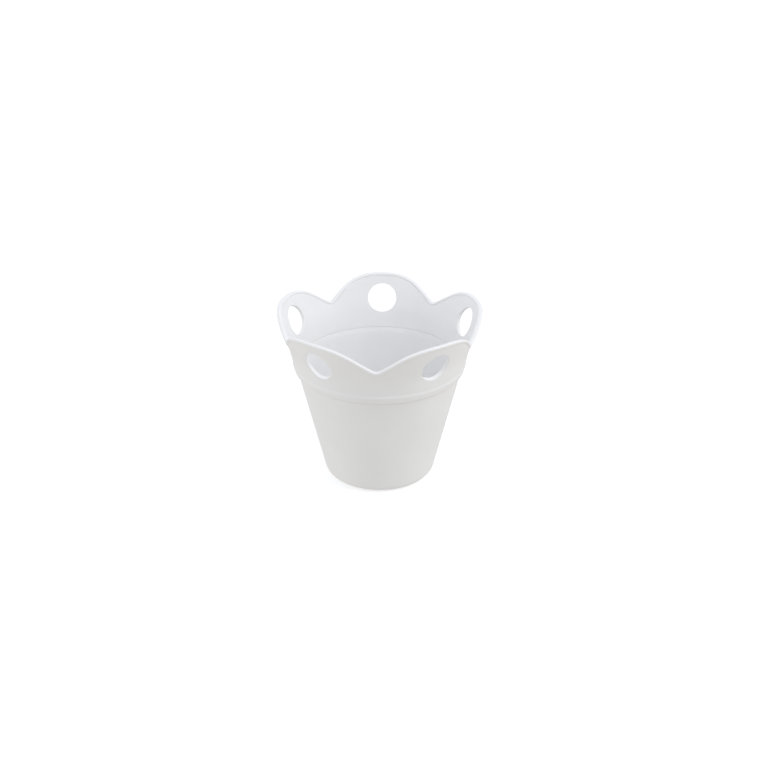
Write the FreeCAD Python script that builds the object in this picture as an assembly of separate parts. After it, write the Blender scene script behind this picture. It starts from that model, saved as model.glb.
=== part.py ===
"""Florist bucket: a tapered tub and a flared five-petal collar that laps over the tub's upper edge.

Millimetres, +Z up. The origin is the centre of the foot ring's contact plane, on the bucket's axis.
One petal points along +Y, so a valley between two petals points along -Y, the bucket's front.
"""
import FreeCAD
import Part
import math
import os

from FreeCAD import Vector

UP = Vector(0, 0, 1)
ORIGIN = Vector(0, 0, 0)

# Tub: a cone with a rounded bottom edge.
WALL = 3.2                # wall thickness of the tub
BASE_RADIUS = 54.6        # outer wall line carried down to the floor
TAPER = 0.230             # radius gained per millimetre of height
BASE_CORNER = 8.5         # radius of the rounded edge round the base
FLOOR_TOP = 4.6           # height of the inside floor
FOOT_RECESS = 1.5         # depth of the hollow under the base
FOOT_INNER = 36.0         # inner radius of the ring that the bucket stands on
FOOT_SLOPE = 2.0          # width of the recess's sloping side
RECESS_ROUND = 0.6        # round between that slope and the recess's flat
GATE_RADIUS = 3.5         # dimple left by the moulding gate, in the middle of the underside
GATE_DEPTH = 0.6

# Lap joint: the collar's skirt sits on a step in the tub's wall, over the tub's thinned top edge.
LAP_Z = 113.0             # height of the step, where the skirt ends
LAP_STEP = 1.1            # width of the step
SPIGOT_TOP = 119.5        # height of the tub's top edge, a ledge inside the bucket
SPIGOT_LAND = 1.6         # flat width of that top edge
SPIGOT_BEVEL = 4.5        # height of the bevel inside it
BEAD_Z = 116.2            # snap bead round the spigot
BEAD_HEIGHT = 0.5
BEAD_HALF_WIDTH = 1.2
GROOVE_PLAY = 0.1         # how much larger the skirt's groove is than the bead

# Collar: a skirt that stands proud of the tub, a ridge, a neck, then a bell that flares outwards.
SKIRT_PROUD = 0.7         # how far the skirt's lower edge stands out from the tub
SKIRT_EDGE = 0.35         # round on that edge
BAND_Z = 115.5            # the skirt slopes outwards quickly up to here
BAND_RADIUS = 83.5
BAND_ROUND = 2.5
RIDGE_Z = 121.1
RIDGE_RADIUS = 85.1
RIDGE_ROUND = 1.6
NECK_Z = 123.3
NECK_RADIUS = 84.9
NECK_ROUND = 6.0
BEND_Z = 139.5            # where the bell turns outwards
BEND_RADIUS = 88.1
BEND_ROUND = 55.0
FLARE = 0.375             # radius gained per millimetre above the bend
RIM_WALL = 3.3            # collar thickness near the rim
COLLAR_BORE = 79.5        # collar's inner radius where it rests on the spigot
BLANK_TOP = 182.0         # height of the turned blank before the petals are cut

# Petals: equal, with a broad crown, straight flanks and a small round in each valley.
PETALS = 5
PITCH = 360.0 / PETALS
HALF_PITCH = PITCH / 2
PETAL_TOP = 173.6
CROWN_HALF_ANGLE = 24.4   # degrees from the petal's centre to the start of its flank
CROWN_DROP = 10.6
CROWN_POWER = 2.65
VALLEY_ROUND = 1.3        # degrees
RIM_STEP = 3.0            # spacing in degrees of the points that guide the rim curve
CUTTER_INNER = 72.0       # the cutters that shape the rim span these radii
CUTTER_OUTER = 111.0
CUT_REACH = 60.0          # and run this far up or down
LIP_HEIGHT = 4.5
LIP_THICKENING = 0.7      # on each side of the wall
LIP_START = 143.6         # lowest height of the lip's blank, under the valleys

# Round hole through each petal, square to the wall.
HOLE_Z = 148.2
HOLE_RADIUS = 14.7
DRILL_REACH = 20.0


def tub_radius(z):
    return BASE_RADIUS + TAPER * z


def spigot_radius(z):
    return tub_radius(z) - LAP_STEP


def tub_bore(z):
    return tub_radius(z) - WALL * math.hypot(1, TAPER)


class Bell:
    """The collar's wall above the bend, a cone that flares outwards."""

    @staticmethod
    def radius(z, inset=0.0):
        """Radius at height z of the line that lies inset inside the outer one."""
        return BEND_RADIUS + FLARE * (z - BEND_Z) - inset * math.hypot(1, FLARE)

    @staticmethod
    def slope_angle(z):
        return math.atan(FLARE)


def point(r, z):
    return Vector(r, 0, z)


def line(a, b):
    return Part.LineSegment(a, b).toShape()


def arc(a, middle, b):
    return Part.Arc(a, middle, b).toShape()


def rounded(corners):
    """Edges through (r, z, round) corners, with a tangent arc wherever round isn't zero."""
    edges = []
    last = point(*corners[0][:2])
    for (r, z, size), (next_r, next_z, _) in zip(corners[1:-1], corners[2:]):
        corner = point(r, z)
        back = (last - corner).normalize()
        ahead = (point(next_r, next_z) - corner).normalize()
        if size:
            half = back.getAngle(ahead) / 2
            reach = size / math.tan(half)
            first = corner + back * reach
            second = corner + ahead * reach
            to_middle = (back + ahead).normalize() * (size / math.sin(half) - size)
            edges += [line(last, first), arc(first, corner + to_middle, second)]
            last = second
        else:
            edges.append(line(last, corner))
            last = corner
    edges.append(line(last, point(*corners[-1][:2])))
    return edges


def turned(edges):
    wire = Part.Wire(Part.__sortEdges__(edges))
    return Part.Face(wire).revolve(ORIGIN, UP, 360)


def ring_edges(z, size, half_width):
    """The round crest of the snap bead, or of its groove, standing out from the spigot's line."""
    low = point(spigot_radius(z - half_width), z - half_width)
    high = point(spigot_radius(z + half_width), z + half_width)
    return low, high, arc(low, point(spigot_radius(z) + size, z), high)


def bucket_body():
    outside = rounded([
        (0, FOOT_RECESS + GATE_DEPTH, 0),
        (GATE_RADIUS, FOOT_RECESS + GATE_DEPTH, 0),
        (GATE_RADIUS, FOOT_RECESS, 0),
        (FOOT_INNER - FOOT_SLOPE, FOOT_RECESS, RECESS_ROUND),
        (FOOT_INNER, 0, 0),
        (BASE_RADIUS, 0, BASE_CORNER),
        (tub_radius(LAP_Z), LAP_Z, 0),
        (spigot_radius(LAP_Z), LAP_Z, 0),
    ])
    low, high, bead = ring_edges(BEAD_Z, BEAD_HEIGHT, BEAD_HALF_WIDTH)
    spigot = [line(point(spigot_radius(LAP_Z), LAP_Z), low), bead,
              line(high, point(spigot_radius(SPIGOT_TOP), SPIGOT_TOP))]
    bevel_z = SPIGOT_TOP - SPIGOT_BEVEL
    inside = rounded([
        (spigot_radius(SPIGOT_TOP), SPIGOT_TOP, 0),
        (spigot_radius(SPIGOT_TOP) - SPIGOT_LAND, SPIGOT_TOP, 0),
        (tub_bore(bevel_z), bevel_z, 0),
        (tub_bore(FLOOR_TOP), FLOOR_TOP, BASE_CORNER - WALL),
        (0, FLOOR_TOP, 0),
        (0, FOOT_RECESS + GATE_DEPTH, 0),
    ])
    return turned(outside + spigot + inside)


def collar_blank():
    """The collar as a plain turned ring, before its petals and holes are cut."""
    outside = rounded([
        (spigot_radius(LAP_Z), LAP_Z, 0),
        (tub_radius(LAP_Z) + SKIRT_PROUD, LAP_Z, SKIRT_EDGE),
        (BAND_RADIUS, BAND_Z, BAND_ROUND),
        (RIDGE_RADIUS, RIDGE_Z, RIDGE_ROUND),
        (NECK_RADIUS, NECK_Z, NECK_ROUND),
        (BEND_RADIUS, BEND_Z, BEND_ROUND),
        (Bell.radius(BLANK_TOP), BLANK_TOP, 0),
    ])
    inside = rounded([
        (Bell.radius(BLANK_TOP), BLANK_TOP, 0),
        (Bell.radius(BLANK_TOP, RIM_WALL), BLANK_TOP, 0),
        (Bell.radius(BEND_Z, RIM_WALL), BEND_Z, BEND_ROUND),
        (COLLAR_BORE, SPIGOT_TOP, 0),
        (spigot_radius(SPIGOT_TOP), SPIGOT_TOP, 0),
    ])
    low, high, groove = ring_edges(BEAD_Z, BEAD_HEIGHT + GROOVE_PLAY, BEAD_HALF_WIDTH + GROOVE_PLAY)
    socket = [line(point(spigot_radius(SPIGOT_TOP), SPIGOT_TOP), high), groove,
              line(low, point(spigot_radius(LAP_Z), LAP_Z))]
    return turned(outside + inside + socket)


def lip_blank():
    """A turned ring a little thicker than the collar's wall on both sides."""
    inner = RIM_WALL + LIP_THICKENING
    return turned(rounded([
        (Bell.radius(LIP_START, inner), LIP_START, 0),
        (Bell.radius(LIP_START, -LIP_THICKENING), LIP_START, 0),
        (Bell.radius(BLANK_TOP, -LIP_THICKENING), BLANK_TOP, 0),
        (Bell.radius(BLANK_TOP, inner), BLANK_TOP, 0),
        (Bell.radius(LIP_START, inner), LIP_START, 0),
    ]))


def rim_height(angle):
    """Height of the rim at this many degrees from a petal's centre."""
    grade = CROWN_POWER * CROWN_DROP / CROWN_HALF_ANGLE

    def above_valley(a):
        return grade * (math.hypot(HALF_PITCH - a, VALLEY_ROUND) - VALLEY_ROUND)

    crown_foot = PETAL_TOP - CROWN_DROP
    if angle <= CROWN_HALF_ANGLE:
        return PETAL_TOP - CROWN_DROP * (angle / CROWN_HALF_ANGLE) ** CROWN_POWER
    return crown_foot - above_valley(CROWN_HALF_ANGLE) + above_valley(angle)


def rim_surface(drop):
    """One petal's rim as a radial surface, lowered by drop, centred on +Y."""
    angles = [-HALF_PITCH + i * RIM_STEP for i in range(round(PITCH / RIM_STEP) + 1)]
    edges = []
    for radius in (CUTTER_INNER, CUTTER_OUTER):
        guide = []
        for angle in angles:
            turn = math.radians(90 + angle)
            height = rim_height(abs(angle)) - drop
            guide.append(Vector(radius * math.cos(turn), radius * math.sin(turn), height))
        curve = Part.BSplineCurve()
        curve.interpolate(guide)
        edges.append(curve.toShape())
    return Part.makeRuledSurface(*edges)


def around(shape):
    """The shape repeated at every petal."""
    copies = []
    for k in range(PETALS):
        copy = shape.copy()
        copy.rotate(ORIGIN, UP, k * PITCH)
        copies.append(copy)
    return copies


def joined(shapes):
    return shapes[0].multiFuse(shapes[1:])


def petal_collar():
    above = joined(around(rim_surface(0).extrude(UP * CUT_REACH)))
    below = joined(around(rim_surface(LIP_HEIGHT).extrude(UP * -CUT_REACH)))
    collar = collar_blank().fuse(lip_blank().cut(below)).cut(above)
    tilt = Bell.slope_angle(HOLE_Z)
    outward = Vector(0, math.cos(tilt), -math.sin(tilt))
    centre = Vector(0, Bell.radius(HOLE_Z), HOLE_Z)
    drill = Part.makeCylinder(HOLE_RADIUS, 2 * DRILL_REACH, centre - outward * DRILL_REACH, outward)
    return collar.cut(around(drill)).removeSplitter()


def save(shape, name):
    solid = shape.Solids[0]
    print(name, "solids", len(shape.Solids), "valid", solid.isValid(), "volume", round(solid.Volume))
    solid.exportStep(os.path.join("parts", name + ".step"))


os.makedirs("parts", exist_ok=True)
save(bucket_body(), "bucket_body")
save(petal_collar(), "petal_collar")
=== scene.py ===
"""A white moulded florist bucket: a tapered tub and the flared five-petal collar lapped over its top edge.

Lengths are millimetres until the last step of each mesh, which writes metres in the CAD model's frame.
"""
import bmesh
import bpy
import math
from mathutils import Matrix, Vector


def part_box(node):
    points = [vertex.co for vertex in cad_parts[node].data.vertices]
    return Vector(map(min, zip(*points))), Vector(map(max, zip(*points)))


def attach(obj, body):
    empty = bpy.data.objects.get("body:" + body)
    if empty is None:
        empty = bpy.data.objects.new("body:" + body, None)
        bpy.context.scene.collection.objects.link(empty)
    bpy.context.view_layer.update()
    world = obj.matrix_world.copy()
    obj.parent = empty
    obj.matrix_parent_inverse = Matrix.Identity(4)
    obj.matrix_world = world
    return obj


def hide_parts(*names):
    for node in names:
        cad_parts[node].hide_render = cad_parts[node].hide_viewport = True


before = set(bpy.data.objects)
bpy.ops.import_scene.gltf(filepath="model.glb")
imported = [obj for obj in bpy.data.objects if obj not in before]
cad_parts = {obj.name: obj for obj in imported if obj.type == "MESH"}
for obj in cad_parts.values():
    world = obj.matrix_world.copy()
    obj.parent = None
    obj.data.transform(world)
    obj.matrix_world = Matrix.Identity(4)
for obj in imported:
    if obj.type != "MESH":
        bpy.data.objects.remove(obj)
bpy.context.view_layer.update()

MM = 0.001
body_low, body_high = (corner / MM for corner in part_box("bucket_body"))
collar_low, collar_high = (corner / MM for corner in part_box("petal_collar"))

# Tub; every length is in millimetres
WALL = 3.2
BASE_RADIUS = 54.6
TAPER = 0.230
BASE_CORNER = 8.5
FLOOR_TOP = 4.6
FOOT_RECESS = 1.5
FOOT_INNER = 36.0
FOOT_SLOPE = 2.0
FOOT_ROUND = 0.8
GATE_RADIUS = 3.5
GATE_DEPTH = 0.6
EDGE = 0.3

# Lap joint
LAP_Z = collar_low.z
LAP_STEP = 1.1
SPIGOT_TOP = body_high.z
SPIGOT_LAND = 1.6
SPIGOT_BEVEL = 4.5
BEVEL_ROUND = 0.9
LEDGE_ROUND = 0.45
SOCKET_ROUND = 0.1
TUB_EDGE = 0.6
PLAY = 0.04

# Collar
SKIRT_PROUD = 0.4
SKIRT_EDGE = 0.25
BAND_Z = 115.5
BAND_RADIUS = 83.5
BAND_ROUND = 2.5
RIDGE_Z = 121.1
RIDGE_RADIUS = 85.1
RIDGE_ROUND = 2.6
NECK_Z = 123.3
NECK_RADIUS = 84.9
NECK_ROUND = 6.0
BEND_Z = 139.5
BEND_RADIUS = 88.1
BEND_ROUND = 55.0
FLARE = 0.375
RIM_WALL = 3.3
COLLAR_BORE = 79.5

# Petals
PETALS = 5
HALF_PITCH = 36.0
PETAL_TOP = collar_high.z
CROWN_HALF_ANGLE = 24.4
CROWN_DROP = 10.6
CROWN_POWER = 2.65
VALLEY_ROUND = 1.3
LIP_BULGE = 0.65
LIP_ROUND = 2.3
LIP_FADE = 2.2
LIP_DEPTH = LIP_ROUND + LIP_FADE
CREASE_HEIGHT = 0.35
CREASE_DEPTH = 0.12
HOLE_Z = 148.2
HOLE_RADIUS = 14.7
HOLE_EDGE = 0.4
PATCH_LOW = 127.0

# Mesh density
ACROSS = 60
HOLE_COLUMNS = 14
SIDE_ROWS = 12
PATCH_RINGS = 10
HUB_RADIUS = 0.5
VALLEY_CROWDING = 0.35
HOLE_CROWDING = 1.3
WALL_PASSES = 6
SURFACE_PASSES = 8

# White plastic; scales are cycles per metre and bump heights are metres
MOTTLE_SCALE = 22
MOTTLE_DARK = (0.894, 0.889, 0.877, 1)
MOTTLE_PALE = (0.926, 0.922, 0.911, 1)
POLISH_SCALE = 45
POLISH_ROUGHNESS = (0.30, 0.44)
SCUFF_SCALE = 260
SCUFF_STRETCH = 0.12
SCUFF_ROUGHNESS = (-0.02, 0.05)
GRAIN_SCALE = 1500
GRAIN_STRENGTH = 0.10
GRAIN_HEIGHT = 0.0004
WAVE_SCALE = 18
WAVE_STRENGTH = 0.25
WAVE_HEIGHT = 0.0012
NOISE_LOW, NOISE_HIGH = 0.3, 0.7
PLASTIC_IOR = 1.49
PLASTIC_SPECULAR = 0.5

# Studio: a wide floor and a round wall, in millimetres
FLOOR_REACH = 12000.0
FLOOR_TILES = 8
FLOOR_GLOW = 0.25
BACKDROP_RADIUS = 11000.0
BACKDROP_HEIGHT = 9000.0
BACKDROP_SIDES = 72
BACKDROP_GLOW = 1.0
STUDIO_WHITE = (0.96, 0.96, 0.96, 1)
STUDIO_ROUGHNESS = 0.9

# Sky of the light tent, blended between two heights of the view direction
SKY_FROM, SKY_TO = -0.35, 0.6
SKY_BELOW, SKY_ABOVE = 0.72, 0.955
SKY_FRONT, SKY_BACK = 0.84, 1.0
TINT_BELOW = (1.0, 0.985, 0.96, 1)
TINT_ABOVE = (0.905, 0.932, 1.0, 1)

# Area lights: name, place, target, diameter in metres, watts
LIGHTS = (
    ("key", (0.9, -0.35, 1.2), (0, 0, 0.12), 0.5, 3.2),
    ("left", (-1.15, -0.30, 0.22), (0, 0, 0.10), 0.8, 1.8),
    ("right", (1.1, -0.25, 0.50), (0, 0, 0.12), 0.8, 1.15),
)

# Camera: metres and degrees; the picture spans VIEW_WIDTH at the target's distance
CAMERA_DISTANCE = 1.0
CAMERA_RAISED = 27.68
CAMERA_TURNED = 1.9
CAMERA_ROLL = -0.15
CAMERA_TARGET = (0, 0, 0.085)
CAMERA_SHIFT = (0.0006, 0.0144)
SENSOR_WIDTH = 36
VIEW_WIDTH = 0.76


def tub_radius(z):
    return BASE_RADIUS + TAPER * z


def spigot_radius(z):
    return tub_radius(z) - LAP_STEP


def tub_bore(z):
    return tub_radius(z) - WALL * math.hypot(1, TAPER)


class Wall:
    """Section line of the bell: the neck's straight line, an arc at the bend, the flare's straight line."""

    def __init__(self, low, high, bend_r, bend_z, bend_round):
        self.low, self.high, self.arc = low, high, bend_round
        half = (high - low) / 2
        self.reach = bend_round * math.tan(half)
        self.start = Vector((bend_r - self.reach * math.sin(low), bend_z - self.reach * math.cos(low)))
        self.end = Vector((bend_r + self.reach * math.sin(high), bend_z + self.reach * math.cos(high)))

    def tilt(self, z):
        """Angle from the vertical at this height."""
        share = (z - self.start.y) / (self.end.y - self.start.y)
        share = min(1.0, max(0.0, share))
        low, high = math.sin(self.low), math.sin(self.high)
        return math.asin(low + (high - low) * share)

    def radius(self, z):
        if z <= self.start.y:
            return self.start.x - (self.start.y - z) * math.tan(self.low)
        if z >= self.end.y:
            return self.end.x + (z - self.end.y) * math.tan(self.high)
        return self.start.x + self.arc * (math.cos(self.low) - math.cos(self.tilt(z)))


FLARE_ANGLE = math.atan(FLARE)
NECK_ANGLE = math.atan((BEND_RADIUS - NECK_RADIUS) / (BEND_Z - NECK_Z))
INNER_BEND = BEND_RADIUS - RIM_WALL * math.hypot(1, FLARE)
INNER_ANGLE = math.atan((INNER_BEND - COLLAR_BORE) / (BEND_Z - SPIGOT_TOP))
OUTER_WALL = Wall(NECK_ANGLE, FLARE_ANGLE, BEND_RADIUS, BEND_Z, BEND_ROUND)
INNER_WALL = Wall(INNER_ANGLE, FLARE_ANGLE, INNER_BEND, BEND_Z, BEND_ROUND)


def bell_angle(z):
    return OUTER_WALL.tilt(z)


def bell_section(z, depth):
    """(radius, height) of the point this deep inside the wall, square to the outside at height z."""
    tilt = bell_angle(z)
    return OUTER_WALL.radius(z) - depth * math.cos(tilt), z + depth * math.sin(tilt)


def bell_wall(z):
    """Thickness of the collar's wall where its outside is at height z."""
    depth = RIM_WALL
    for _ in range(WALL_PASSES):
        r, height = bell_section(z, depth)
        depth += (r - INNER_WALL.radius(height)) * math.cos(bell_angle(z))
    return depth


def bell_point(angle, z, depth):
    """Point at this azimuth in degrees, counted from a petal's centre on +Y towards -X."""
    r, height = bell_section(z, depth)
    turn = math.radians(90 + angle)
    return Vector((r * math.cos(turn), r * math.sin(turn), height))


def rim_height(angle):
    """Height of the rim at this many degrees from the petal's centre."""
    angle = abs(angle)
    grade = CROWN_POWER * CROWN_DROP / CROWN_HALF_ANGLE

    def above_valley(a):
        return grade * (math.hypot(HALF_PITCH - a, VALLEY_ROUND) - VALLEY_ROUND)

    if angle <= CROWN_HALF_ANGLE:
        return PETAL_TOP - CROWN_DROP * (angle / CROWN_HALF_ANGLE) ** CROWN_POWER
    return PETAL_TOP - CROWN_DROP - above_valley(CROWN_HALF_ANGLE) + above_valley(angle)


class Skin:
    """Vertices and faces of one closed mesh."""

    def __init__(self):
        self.points = []
        self.faces = []

    def row(self, points):
        first = len(self.points)
        self.points += [tuple(p) for p in points]
        return list(range(first, len(self.points)))

    def join(self, low, high, closed=True):
        """A strip of quads between two rows with equal counts."""
        count = len(low)
        for i in range(count if closed else count - 1):
            k = (i + 1) % count
            self.faces.append((low[i], low[k], high[k], high[i]))

    def fan(self, row, tip):
        for i in range(len(row)):
            self.faces.append((row[i], row[(i + 1) % len(row)], tip))

    def build(self, name, material):
        mesh = bpy.data.meshes.new(name)
        mesh.from_pydata([[c * MM for c in p] for p in self.points], [], self.faces)
        mesh.validate()
        mesh.materials.append(material)
        for face in mesh.polygons:
            face.use_smooth = True
        piece = bpy.data.objects.new(name, mesh)
        bpy.context.scene.collection.objects.link(piece)
        made = bmesh.new()
        made.from_mesh(mesh)
        bmesh.ops.remove_doubles(made, verts=made.verts, dist=1e-6)
        bmesh.ops.recalc_face_normals(made, faces=made.faces)
        made.to_mesh(mesh)
        made.free()
        return piece


def rounded(corners, arc_steps=6, longest=5.0):
    """Points through (r, z, round) corners: tangent arcs at the corners, long runs divided."""
    path = [Vector(corners[0][:2])]

    def run_to(target):
        start = path[-1]
        length = (target - start).length
        count = max(1, math.ceil(length / longest))
        for i in range(1, count):
            path.append(start.lerp(target, i / count))
        path.append(target)

    for (r, z, size), (next_r, next_z, _) in zip(corners[1:-1], corners[2:]):
        corner = Vector((r, z))
        back = (path[-1] - corner).normalized()
        ahead = (Vector((next_r, next_z)) - corner).normalized()
        if not size:
            run_to(corner)
            continue
        half = back.angle(ahead) / 2
        reach = size / math.tan(half)
        centre = corner + (back + ahead).normalized() * (size / math.sin(half))
        first = corner + back * reach
        second = corner + ahead * reach
        run_to(first)
        spread = (first - centre).angle_signed(second - centre)
        arm = first - centre
        for i in range(1, arc_steps + 1):
            a = -spread * i / arc_steps
            path.append(centre + Vector((arm.x * math.cos(a) - arm.y * math.sin(a),
                                         arm.x * math.sin(a) + arm.y * math.cos(a))))
    run_to(Vector(corners[-1][:2]))
    return path


def azimuths():
    """Degrees round one petal, closer together towards its valleys."""
    values = []
    for i in range(ACROSS + 1):
        u = 2 * i / ACROSS - 1
        values.append(HALF_PITCH * ((1 + VALLEY_CROWDING) * u - VALLEY_CROWDING * u ** 3))
    return values


AZIMUTHS = azimuths()


def all_round():
    return [a + 2 * HALF_PITCH * k for k in range(PETALS) for a in AZIMUTHS[:-1]]


def lathe_row(skin, r, z):
    turns = [math.radians(90 + a) for a in all_round()]
    return skin.row([(r * math.cos(t), r * math.sin(t), z) for t in turns])


def lathe(skin, path):
    """Rows round the axis through each (r, z) of the path."""
    rows = [lathe_row(skin, r, z) for r, z in path]
    for low, high in zip(rows, rows[1:]):
        skin.join(low, high)
    return rows


def tub(material):
    bevel_z = SPIGOT_TOP - SPIGOT_BEVEL
    low_z = FOOT_RECESS + GATE_DEPTH
    path = rounded([
        (HUB_RADIUS, low_z, 0),
        (GATE_RADIUS, low_z, EDGE),
        (GATE_RADIUS, FOOT_RECESS, EDGE),
        (FOOT_INNER - FOOT_SLOPE, FOOT_RECESS, FOOT_ROUND),
        (FOOT_INNER, 0, FOOT_ROUND),
        (BASE_RADIUS, 0, BASE_CORNER),
        (tub_radius(LAP_Z), LAP_Z - PLAY, TUB_EDGE),
        (spigot_radius(LAP_Z), LAP_Z - PLAY, EDGE),
        (spigot_radius(SPIGOT_TOP), SPIGOT_TOP, EDGE),
        (spigot_radius(SPIGOT_TOP) - SPIGOT_LAND, SPIGOT_TOP, LEDGE_ROUND),
        (tub_bore(bevel_z), bevel_z, BEVEL_ROUND),
        (tub_bore(FLOOR_TOP), FLOOR_TOP, BASE_CORNER - WALL),
        (HUB_RADIUS, FLOOR_TOP, 0),
    ], arc_steps=8)
    skin = Skin()
    rows = lathe(skin, path)
    for row, z in ((rows[0], low_z), (rows[-1], FLOOR_TOP)):
        skin.fan(row, skin.row([(0, 0, z)])[0])
    return skin.build("tub", material)


def lip_section():
    """(distance below the rim, side, bulge) round the bead; side runs from -1 outside to 1 inside."""
    steps = 7
    half = RIM_WALL / 2 + LIP_BULGE
    undercut = math.acos(RIM_WALL / 2 / half)
    outside = [(LIP_DEPTH, -1.0, 0.0), (LIP_DEPTH - CREASE_HEIGHT, -1.0, -CREASE_DEPTH)]
    for i in range(steps):
        a = undercut * (1 - i / steps)
        outside.append((LIP_ROUND + half * math.sin(a), -1.0, half * math.cos(a) - RIM_WALL / 2))
    crown = []
    for i in range(2 * steps + 1):
        a = math.pi * (i / steps - 1) / 2
        crown.append((LIP_ROUND * (1 - math.cos(a)), math.sin(a), LIP_BULGE))
    return outside + crown + [(q, 1.0, bulge) for q, _, bulge in reversed(outside)]


def lip_point(k, azimuth, distance, side, bulge):
    """Point on petal k's lip: level across the wall at the rim, square to the wall at the lip's foot."""
    where, z = below_rim(azimuth, distance)
    wall = bell_wall(z)
    depth = wall / 2 + side * (wall / 2 + bulge)
    level = 1 - distance / LIP_DEPTH
    z -= level * depth * math.sin(bell_angle(z))
    return bell_point(where + 2 * HALF_PITCH * k, z, depth)


def below_rim(angle, distance):
    """(azimuth, height) this far below the rim, measured along the wall, square to the rim."""
    step = 0.01
    z = rim_height(angle)
    tilt = bell_angle(z)
    radius = bell_section(z, 0)[0]
    rise = (rim_height(angle + step) - rim_height(angle - step)) / math.cos(tilt)
    run = radius * math.radians(2 * step)
    length = math.hypot(rise, run)
    shift = distance * rise / length / radius
    return angle + math.degrees(shift), z - distance * run / length * math.cos(tilt)


def hole_frame():
    """(centre, outward, side, up) of the hole in the petal on +Y."""
    tilt = bell_angle(HOLE_Z)
    centre = bell_point(0, HOLE_Z, 0)
    outward = Vector((0, math.cos(tilt), -math.sin(tilt)))
    up = Vector((0, math.sin(tilt), math.cos(tilt)))
    return centre, outward, Vector((-1, 0, 0)), up


HOLE = hole_frame()


def surface_below(p):
    """(azimuth, height on the outside, depth) of a point in the wall."""
    radius = math.hypot(p.x, p.y)
    z, depth = p.z, 0.0
    for _ in range(SURFACE_PASSES):
        tilt = bell_angle(z)
        depth = (OUTER_WALL.radius(z) - radius) * math.cos(tilt) + (p.z - z) * math.sin(tilt)
        z = p.z - depth * math.sin(tilt)
    return math.degrees(math.atan2(-p.x, p.y)), z, depth


def hole_point(phi, radius, inner, below=0.0):
    """Point on the collar's outer or inner face beside the hole, moved into the wall by below."""
    centre, outward, side, up = HOLE
    flat = centre + side * (radius * math.cos(phi)) + up * (radius * math.sin(phi))
    travel = 0.0
    for _ in range(SURFACE_PASSES):
        _, z, depth = surface_below(flat - outward * travel)
        travel += (bell_wall(z) if inner else 0.0) - depth
    return flat - outward * (travel + (-below if inner else below))


def side_grid(height_row, i, j):
    """(azimuth, height) in column i of a petal's wall, j rows up from its foot to the lip."""
    share = j / SIDE_ROWS
    top = height_row[i]
    return AZIMUTHS[i] + (top[0] - AZIMUTHS[i]) * share, PATCH_LOW + (top[1] - PATCH_LOW) * share


def hole_border(height_row):
    """(azimuth, height) round the block that holds the hole: along the top, down, back and up."""
    first, last = HOLE_COLUMNS, ACROSS - HOLE_COLUMNS
    top = [side_grid(height_row, i, SIDE_ROWS) for i in range(first, last)]
    down = [side_grid(height_row, last, j) for j in range(SIDE_ROWS, 0, -1)]
    bottom = [side_grid(height_row, i, 0) for i in range(last, first, -1)]
    rise = [side_grid(height_row, first, j) for j in range(SIDE_ROWS)]
    return top + down + bottom + rise


def petal_sides(skin, k, height_row, inner):
    """The plain parts of one petal's wall, to the left and right of its hole."""
    blocks = ((0, HOLE_COLUMNS), (ACROSS - HOLE_COLUMNS, ACROSS))
    for first, last in blocks:
        rows = []
        for j in range(SIDE_ROWS + 1):
            spots = [side_grid(height_row, i, j) for i in range(first, last + 1)]
            rows.append(skin.row([bell_point(a + 2 * HALF_PITCH * k, z, bell_wall(z) if inner else 0.0)
                                  for a, z in spots]))
        for low, high in zip(rows, rows[1:]):
            skin.join(low, high, closed=False)


def petal_patch(skin, k, height_row):
    """The middle of one petal inside and out, and the wall of its hole, as rings round the hole."""
    turn = Matrix.Rotation(math.radians(2 * HALF_PITCH * k), 3, "Z")
    border = hole_border(height_row)
    radius = bell_section(HOLE_Z, 0)[0]
    tilt = bell_angle(HOLE_Z)
    headings = [math.atan2((z - HOLE_Z) / math.cos(tilt), radius * math.radians(a)) for a, z in border]

    def ring(points):
        return skin.row([turn @ p for p in points])

    rounds = []
    steps = 5
    for i in range(steps + 1):
        a = math.pi / 2 * i / steps
        rounds.append((HOLE_RADIUS + HOLE_EDGE * (1 - math.sin(a)), HOLE_EDGE * (1 - math.cos(a))))
    loops = []
    for inner in (False, True):
        start = [surface_below(hole_point(h, HOLE_RADIUS + HOLE_EDGE, inner)) for h in headings]
        side = []
        for i in range(PATCH_RINGS):
            w = (1 - i / PATCH_RINGS) ** HOLE_CROWDING
            spots = [(s[0] + (b[0] - s[0]) * w, s[1] + (b[1] - s[1]) * w) for s, b in zip(start, border)]
            side.append(ring([bell_point(a, z, bell_wall(z) if inner else 0.0) for a, z in spots]))
        for size, below in rounds:
            side.append(ring([hole_point(h, size, inner, below) for h in headings]))
        loops.append(side)
    chain = loops[0] + loops[1][::-1]
    for low, high in zip(chain, chain[1:]):
        skin.join(low, high)


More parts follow.
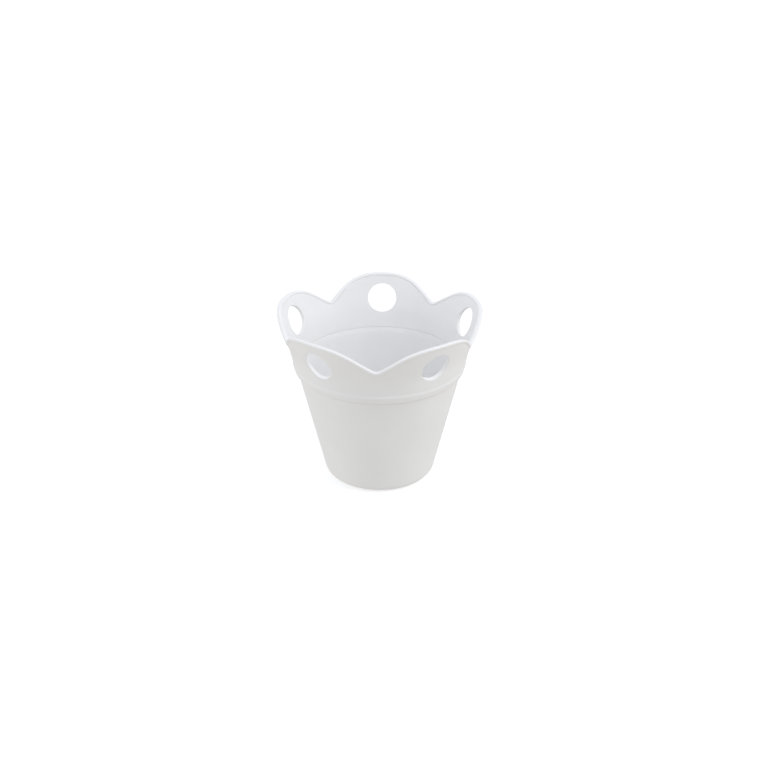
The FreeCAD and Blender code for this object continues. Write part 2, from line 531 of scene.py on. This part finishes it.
def collar(material):
    skin = Skin()
    spots = [(k, a) for k in range(PETALS) for a in AZIMUTHS[:-1]]
    rows = [skin.row([lip_point(k, a, *spot) for k, a in spots]) for spot in lip_section()]
    for low, high in zip(rows, rows[1:]):
        skin.join(low, high)
    height_row = [below_rim(a, LIP_DEPTH) for a in AZIMUTHS]
    for k in range(PETALS):
        petal_patch(skin, k, height_row)
        petal_sides(skin, k, height_row, False)
        petal_sides(skin, k, height_row, True)
    skirt = rounded([
        (*bell_section(PATCH_LOW, 0), 0),
        (NECK_RADIUS, NECK_Z, NECK_ROUND),
        (RIDGE_RADIUS, RIDGE_Z, RIDGE_ROUND),
        (BAND_RADIUS, BAND_Z, BAND_ROUND),
        (tub_radius(LAP_Z) + SKIRT_PROUD, LAP_Z, SKIRT_EDGE),
        (spigot_radius(LAP_Z) + PLAY, LAP_Z, EDGE),
        (spigot_radius(SPIGOT_TOP) + PLAY, SPIGOT_TOP + PLAY, SOCKET_ROUND),
        (COLLAR_BORE, SPIGOT_TOP + PLAY, LEDGE_ROUND),
        (*bell_section(PATCH_LOW, bell_wall(PATCH_LOW)), 0),
    ], longest=2.5)
    lathe(skin, skirt)
    return skin.build("petal_collar_shell", material)


def socket(node, name, value):
    node.inputs[name].default_value = value


def white_plastic():
    """Satin white plastic: faint mottling, fine moulded grain, slight waviness and light handling scuffs."""
    material = bpy.data.materials.new("white_plastic")
    material.use_nodes = True
    nodes, links = material.node_tree.nodes, material.node_tree.links
    shader = nodes["Principled BSDF"]
    place = nodes.new("ShaderNodeTexCoord").outputs["Object"]

    def noise(scale, detail, roughness=0.5):
        node = nodes.new("ShaderNodeTexNoise")
        socket(node, "Scale", scale)
        socket(node, "Detail", detail)
        socket(node, "Roughness", roughness)
        links.new(place, node.inputs["Vector"])
        return node.outputs["Fac"]

    def spread(value, low, high):
        node = nodes.new("ShaderNodeMapRange")
        socket(node, "From Min", NOISE_LOW)
        socket(node, "From Max", NOISE_HIGH)
        socket(node, "To Min", low)
        socket(node, "To Max", high)
        links.new(value, node.inputs["Value"])
        return node.outputs["Result"]

    def sum_of(first, second):
        node = nodes.new("ShaderNodeMath")
        node.operation = "ADD"
        links.new(first, node.inputs[0])
        links.new(second, node.inputs[1])
        return node.outputs["Value"]

    mottle = nodes.new("ShaderNodeValToRGB")
    dark, pale = mottle.color_ramp.elements
    dark.position, dark.color = NOISE_LOW, MOTTLE_DARK
    pale.position, pale.color = NOISE_HIGH, MOTTLE_PALE
    links.new(noise(MOTTLE_SCALE, 3), mottle.inputs["Fac"])
    links.new(mottle.outputs["Color"], shader.inputs["Base Color"])

    polish = spread(noise(POLISH_SCALE, 4, 0.6), *POLISH_ROUGHNESS)
    stretched = nodes.new("ShaderNodeMapping")
    socket(stretched, "Scale", (1.0, 1.0, SCUFF_STRETCH))
    links.new(place, stretched.inputs["Vector"])
    scuff = nodes.new("ShaderNodeTexNoise")
    socket(scuff, "Scale", SCUFF_SCALE)
    socket(scuff, "Detail", 5)
    links.new(stretched.outputs["Vector"], scuff.inputs["Vector"])
    marks = spread(scuff.outputs["Fac"], *SCUFF_ROUGHNESS)
    links.new(sum_of(polish, marks), shader.inputs["Roughness"])

    def bump(scale, strength, distance):
        node = nodes.new("ShaderNodeBump")
        socket(node, "Strength", strength)
        socket(node, "Distance", distance)
        links.new(noise(scale, 2), node.inputs["Height"])
        return node

    grain = bump(GRAIN_SCALE, GRAIN_STRENGTH, GRAIN_HEIGHT)
    waves = bump(WAVE_SCALE, WAVE_STRENGTH, WAVE_HEIGHT)
    links.new(grain.outputs["Normal"], waves.inputs["Normal"])
    links.new(waves.outputs["Normal"], shader.inputs["Normal"])
    socket(shader, "IOR", PLASTIC_IOR)
    socket(shader, "Specular IOR Level", PLASTIC_SPECULAR)
    return material


def glowing_white(name, glow):
    material = bpy.data.materials.new(name)
    material.use_nodes = True
    shader = material.node_tree.nodes["Principled BSDF"]
    socket(shader, "Base Color", STUDIO_WHITE)
    socket(shader, "Roughness", STUDIO_ROUGHNESS)
    socket(shader, "Emission Color", (1, 1, 1, 1))
    socket(shader, "Emission Strength", glow)
    return material


def studio_floor():
    """The pale table: it takes the object's shadow, but reflects no light back onto it."""
    skin = Skin()
    marks = [FLOOR_REACH * (2 * i / FLOOR_TILES - 1) for i in range(FLOOR_TILES + 1)]
    rows = [skin.row([(x, y, 0) for x in marks]) for y in marks]
    for low, high in zip(rows, rows[1:]):
        skin.join(low, high, closed=False)
    floor = skin.build("studio_floor", glowing_white("studio_floor", FLOOR_GLOW))
    floor.visible_diffuse = False
    floor.visible_glossy = False


def studio_wall():
    """The white wall of the light tent, far behind the object all round; it only shows, it sheds no light."""
    skin = Skin()
    turns = [math.tau * i / BACKDROP_SIDES for i in range(BACKDROP_SIDES)]
    foot, top = (skin.row([(BACKDROP_RADIUS * math.cos(a), BACKDROP_RADIUS * math.sin(a), z) for a in turns])
                 for z in (0, BACKDROP_HEIGHT))
    skin.join(foot, top)
    wall = skin.build("studio_wall", glowing_white("studio_wall", BACKDROP_GLOW))
    wall.visible_diffuse = False
    wall.visible_glossy = False
    wall.visible_transmission = False
    wall.visible_shadow = False


def area_light(name, place, target, size, power):
    light = bpy.data.lights.new(name, "AREA")
    light.shape = "DISK"
    light.size = size
    light.energy = power
    lamp = bpy.data.objects.new(name, light)
    lamp.location = place
    lamp.rotation_euler = (Vector(target) - Vector(place)).to_track_quat("-Z", "Y").to_euler()
    bpy.context.scene.collection.objects.link(lamp)


def studio():
    """A light tent: cool and bright overhead, dimmer and warmer towards the table."""
    world = bpy.data.worlds.new("studio")
    bpy.context.scene.world = world
    world.use_nodes = True
    nodes, links = world.node_tree.nodes, world.node_tree.links
    sky = nodes["Background"]
    axes = nodes.new("ShaderNodeSeparateXYZ")
    links.new(nodes.new("ShaderNodeTexCoord").outputs["Generated"], axes.inputs["Vector"])

    def between(value, start, stop, low, high):
        node = nodes.new("ShaderNodeMapRange")
        socket(node, "From Min", start)
        socket(node, "From Max", stop)
        socket(node, "To Min", low)
        socket(node, "To Max", high)
        links.new(axes.outputs[value], node.inputs["Value"])
        return node

    def by_height(low, high):
        node = between("Z", SKY_FROM, SKY_TO, low, high)
        node.interpolation_type = "SMOOTHSTEP"
        return node.outputs["Result"]

    side = between("Y", -1.0, 0.0, SKY_FRONT, SKY_BACK)
    strength = nodes.new("ShaderNodeMath")
    strength.operation = "MULTIPLY"
    links.new(by_height(SKY_BELOW, SKY_ABOVE), strength.inputs[0])
    links.new(side.outputs["Result"], strength.inputs[1])
    links.new(strength.outputs["Value"], sky.inputs["Strength"])
    tint = nodes.new("ShaderNodeValToRGB")
    below, above = tint.color_ramp.elements
    below.color, above.color = TINT_BELOW, TINT_ABOVE
    links.new(by_height(0.0, 1.0), tint.inputs["Fac"])
    links.new(tint.outputs["Color"], sky.inputs["Color"])
    for light in LIGHTS:
        area_light(*light)
    bpy.context.scene.view_settings.view_transform = "Standard"


def camera():
    raised, turned = math.radians(CAMERA_RAISED), math.radians(CAMERA_TURNED)
    away = Vector((
        math.cos(raised) * math.sin(turned),
        -math.cos(raised) * math.cos(turned),
        math.sin(raised),
    ))
    lens = bpy.data.cameras.new("camera")
    lens.sensor_width = SENSOR_WIDTH
    lens.lens = SENSOR_WIDTH * CAMERA_DISTANCE / VIEW_WIDTH
    lens.shift_x, lens.shift_y = CAMERA_SHIFT
    eye = bpy.data.objects.new("camera", lens)
    eye.location = Vector(CAMERA_TARGET) + away * CAMERA_DISTANCE
    roll = Matrix.Rotation(math.radians(CAMERA_ROLL), 3, away)
    eye.rotation_euler = (roll @ (-away).to_track_quat("-Z", "Y").to_matrix()).to_euler()
    bpy.context.scene.collection.objects.link(eye)
    bpy.context.scene.camera = eye


plastic = white_plastic()
pieces = {"bucket_body": tub(plastic), "petal_collar": collar(plastic)}
for node, piece in pieces.items():
    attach(piece, "root")
    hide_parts(node)
studio_floor()
studio_wall()
studio()
camera()
